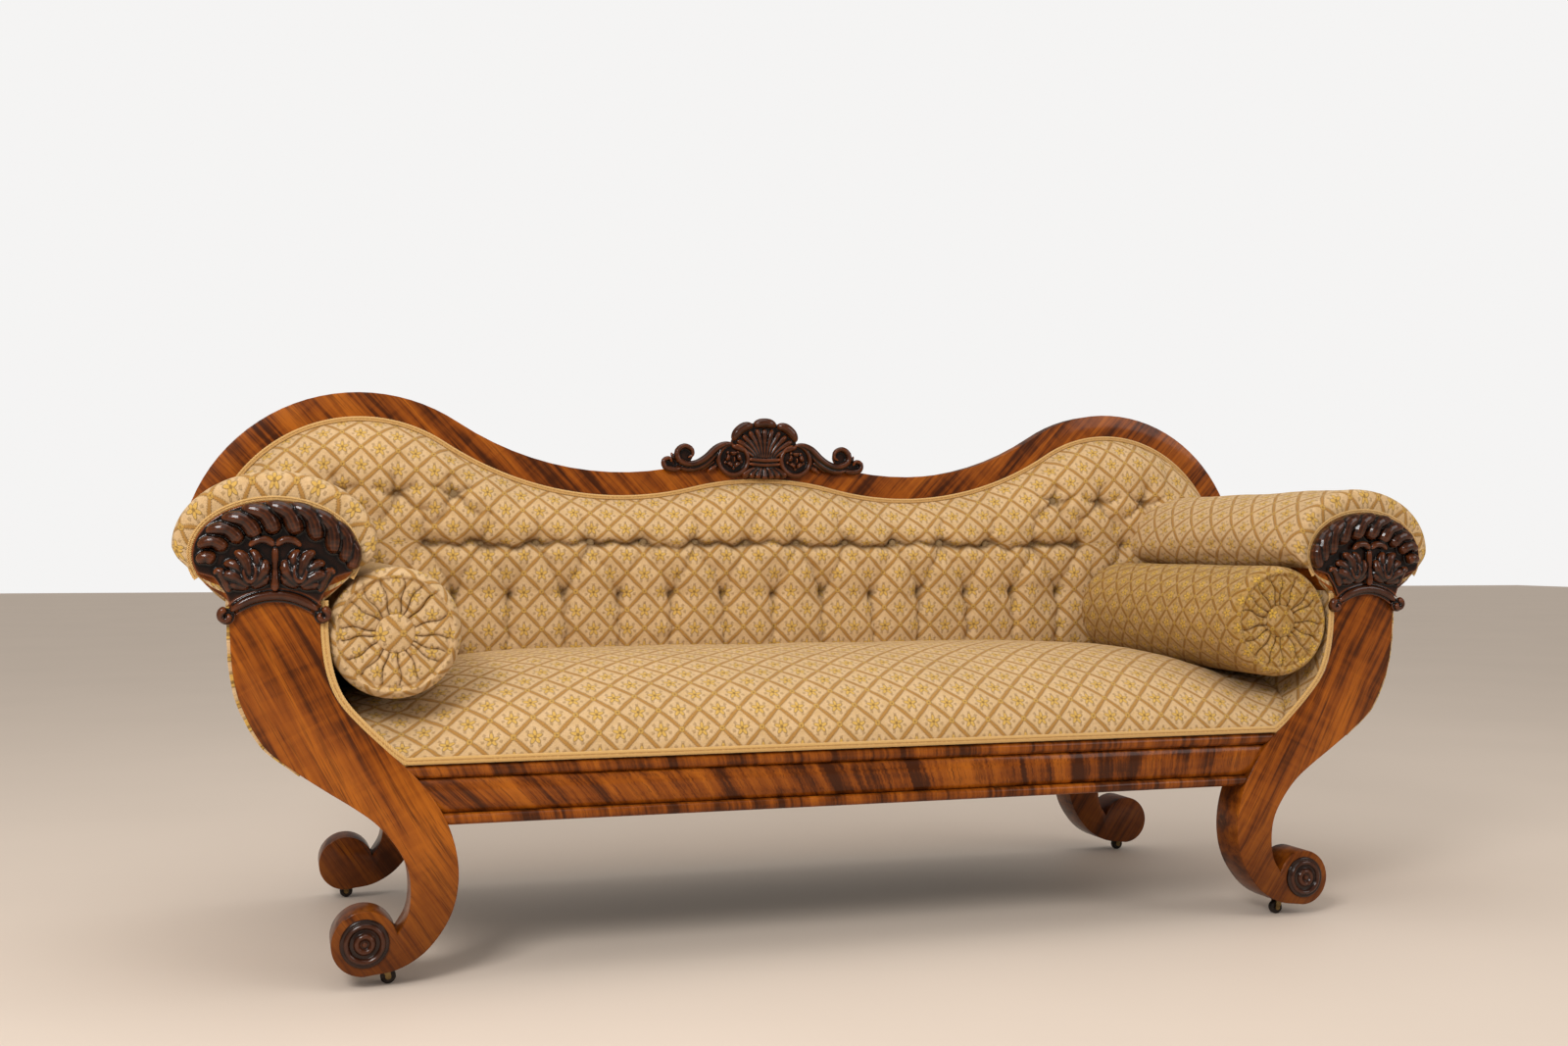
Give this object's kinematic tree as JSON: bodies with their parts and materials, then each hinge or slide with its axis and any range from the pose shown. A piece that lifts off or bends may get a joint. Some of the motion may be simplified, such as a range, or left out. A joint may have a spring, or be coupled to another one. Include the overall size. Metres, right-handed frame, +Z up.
{
  "type": "scroll end sofa",
  "caption": "Upholstered sofa with S-shaped scroll end planks, a serpentine carved crest rail, deep-buttoned back, sprung seat, loose bolsters and castors.",
  "frame": {"origin": "on the floor, midway between the extremes of the length and the depth", "axes": "+X along the length to the right as seen from the front, +Y from the seat's front to the back, +Z up"},
  "size_m": [2.2018, 0.724, 0.9429],
  "materials": {
    "polished_mahogany": "french-polished orange-brown mahogany with dark streaks",
    "crossbanded_veneer": "polished crossbanded veneer with slanting dark figure",
    "carved_mahogany": "dark polished carving",
    "beech_carcase": "unfinished",
    "jute": "woven",
    "spring_steel": "dull drawn wire",
    "trellis_cover": "soft woven cover with a golden diamond trellis and sprigs",
    "bolster_cover": "soft woven cover with a golden diamond trellis and sprigs",
    "gimp_braid": "scrolled braid",
    "dust_cover": "plain weave",
    "castor_brass": "aged, dark",
    "castor_iron": "worn black"
  },
  "bodies": {
    "frame": {"front_leg_left": "polished_mahogany", "front_leg_right": "polished_mahogany", "rear_leg_left": "polished_mahogany", "rear_leg_right": "polished_mahogany", "arm_capital_left": "carved_mahogany", "arm_capital_right": "carved_mahogany", "arm_collar_left": "carved_mahogany", "arm_collar_right": "carved_mahogany", "foot_roundels": "carved_mahogany", "front_seat_rail": "beech_carcase", "rail_top_bead": "polished_mahogany", "rail_face_panel": "crossbanded_veneer", "rail_bottom_bead": "polished_mahogany", "rear_seat_rail": "beech_carcase", "end_seat_rails": "beech_carcase", "seat_cross_braces": "beech_carcase", "corner_blocks": "beech_carcase", "rail_dowels": "beech_carcase", "crest_rail": "crossbanded_veneer", "back_posts": "beech_carcase", "back_stuffing_rail": "beech_carcase", "crest_shell": "carved_mahogany", "crest_scroll_left": "carved_mahogany", "crest_scroll_right": "carved_mahogany", "crest_rosettes": "carved_mahogany", "arm_top_rails": "beech_carcase", "arm_tack_rails": "beech_carcase", "seat_webbing": "jute", "seat_springs": "spring_steel", "spring_hessian": "jute", "seat_pad": "trellis_cover", "bottom_cloth": "dust_cover", "back_pad": "trellis_cover", "back_buttons": "trellis_cover", "outside_back": "trellis_cover", "arm_roll_left": "trellis_cover", "arm_roll_right": "trellis_cover", "inside_arm_left": "trellis_cover", "inside_arm_right": "trellis_cover", "outside_arm_left": "trellis_cover", "outside_arm_right": "trellis_cover", "seat_braid": "gimp_braid", "arm_braids": "gimp_braid", "back_braid": "gimp_braid", "castor_plates": "castor_brass", "castor_screws": "castor_brass"},
    "castor_fork_front_left": {"castor_fork_front_left": "castor_brass"},
    "castor_fork_front_right": {"castor_fork_front_right": "castor_brass"},
    "castor_fork_rear_left": {"castor_fork_rear_left": "castor_brass"},
    "castor_fork_rear_right": {"castor_fork_rear_right": "castor_brass"},
    "castor_wheel_front_left": {"castor_wheel_front_left": "castor_iron"},
    "castor_wheel_front_right": {"castor_wheel_front_right": "castor_iron"},
    "castor_wheel_rear_left": {"castor_wheel_rear_left": "castor_iron"},
    "castor_wheel_rear_right": {"castor_wheel_rear_right": "castor_iron"},
    "bolster_left": {"bolster_left": "bolster_cover", "bolster_buttons_left": "bolster_cover"},
    "bolster_right": {"bolster_right": "bolster_cover", "bolster_buttons_right": "bolster_cover"}
  },
  "joints": [
    {"name": "bolster_left_lift", "type": "slide", "parent": "frame", "child": "bolster_left", "axis": [0.8, 0, 0.6], "range_m": [0, 0.4]},
    {"name": "bolster_right_lift", "type": "slide", "parent": "frame", "child": "bolster_right", "axis": [-0.8, 0, 0.6], "range_m": [0, 0.4]},
    {"name": "castor_front_left_swivel", "type": "hinge", "parent": "frame", "child": "castor_fork_front_left", "pos_m": [-0.782, -0.301, 0.045], "axis": [0, 0, 1], "continuous": true},
    {"name": "castor_front_left_spin", "type": "hinge", "parent": "castor_fork_front_left", "child": "castor_wheel_front_left", "pos_m": [-0.776, -0.301, 0.0115], "axis": [0, 1, 0], "continuous": true},
    {"name": "castor_front_right_swivel", "type": "hinge", "parent": "frame", "child": "castor_fork_front_right", "pos_m": [0.782, -0.301, 0.045], "axis": [0, 0, 1], "continuous": true},
    {"name": "castor_front_right_spin", "type": "hinge", "parent": "castor_fork_front_right", "child": "castor_wheel_front_right", "pos_m": [0.776, -0.301, 0.0115], "axis": [0, 1, 0], "continuous": true},
    {"name": "castor_rear_left_swivel", "type": "hinge", "parent": "frame", "child": "castor_fork_rear_left", "pos_m": [-0.816, 0.323, 0.045], "axis": [0, 0, 1], "continuous": true},
    {"name": "castor_rear_left_spin", "type": "hinge", "parent": "castor_fork_rear_left", "child": "castor_wheel_rear_left", "pos_m": [-0.81, 0.323, 0.0115], "axis": [0, 1, 0], "continuous": true},
    {"name": "castor_rear_right_swivel", "type": "hinge", "parent": "frame", "child": "castor_fork_rear_right", "pos_m": [0.816, 0.323, 0.045], "axis": [0, 0, 1], "continuous": true},
    {"name": "castor_rear_right_spin", "type": "hinge", "parent": "castor_fork_rear_right", "child": "castor_wheel_rear_right", "pos_m": [0.81, 0.323, 0.0115], "axis": [0, 1, 0], "continuous": true}
  ]
}
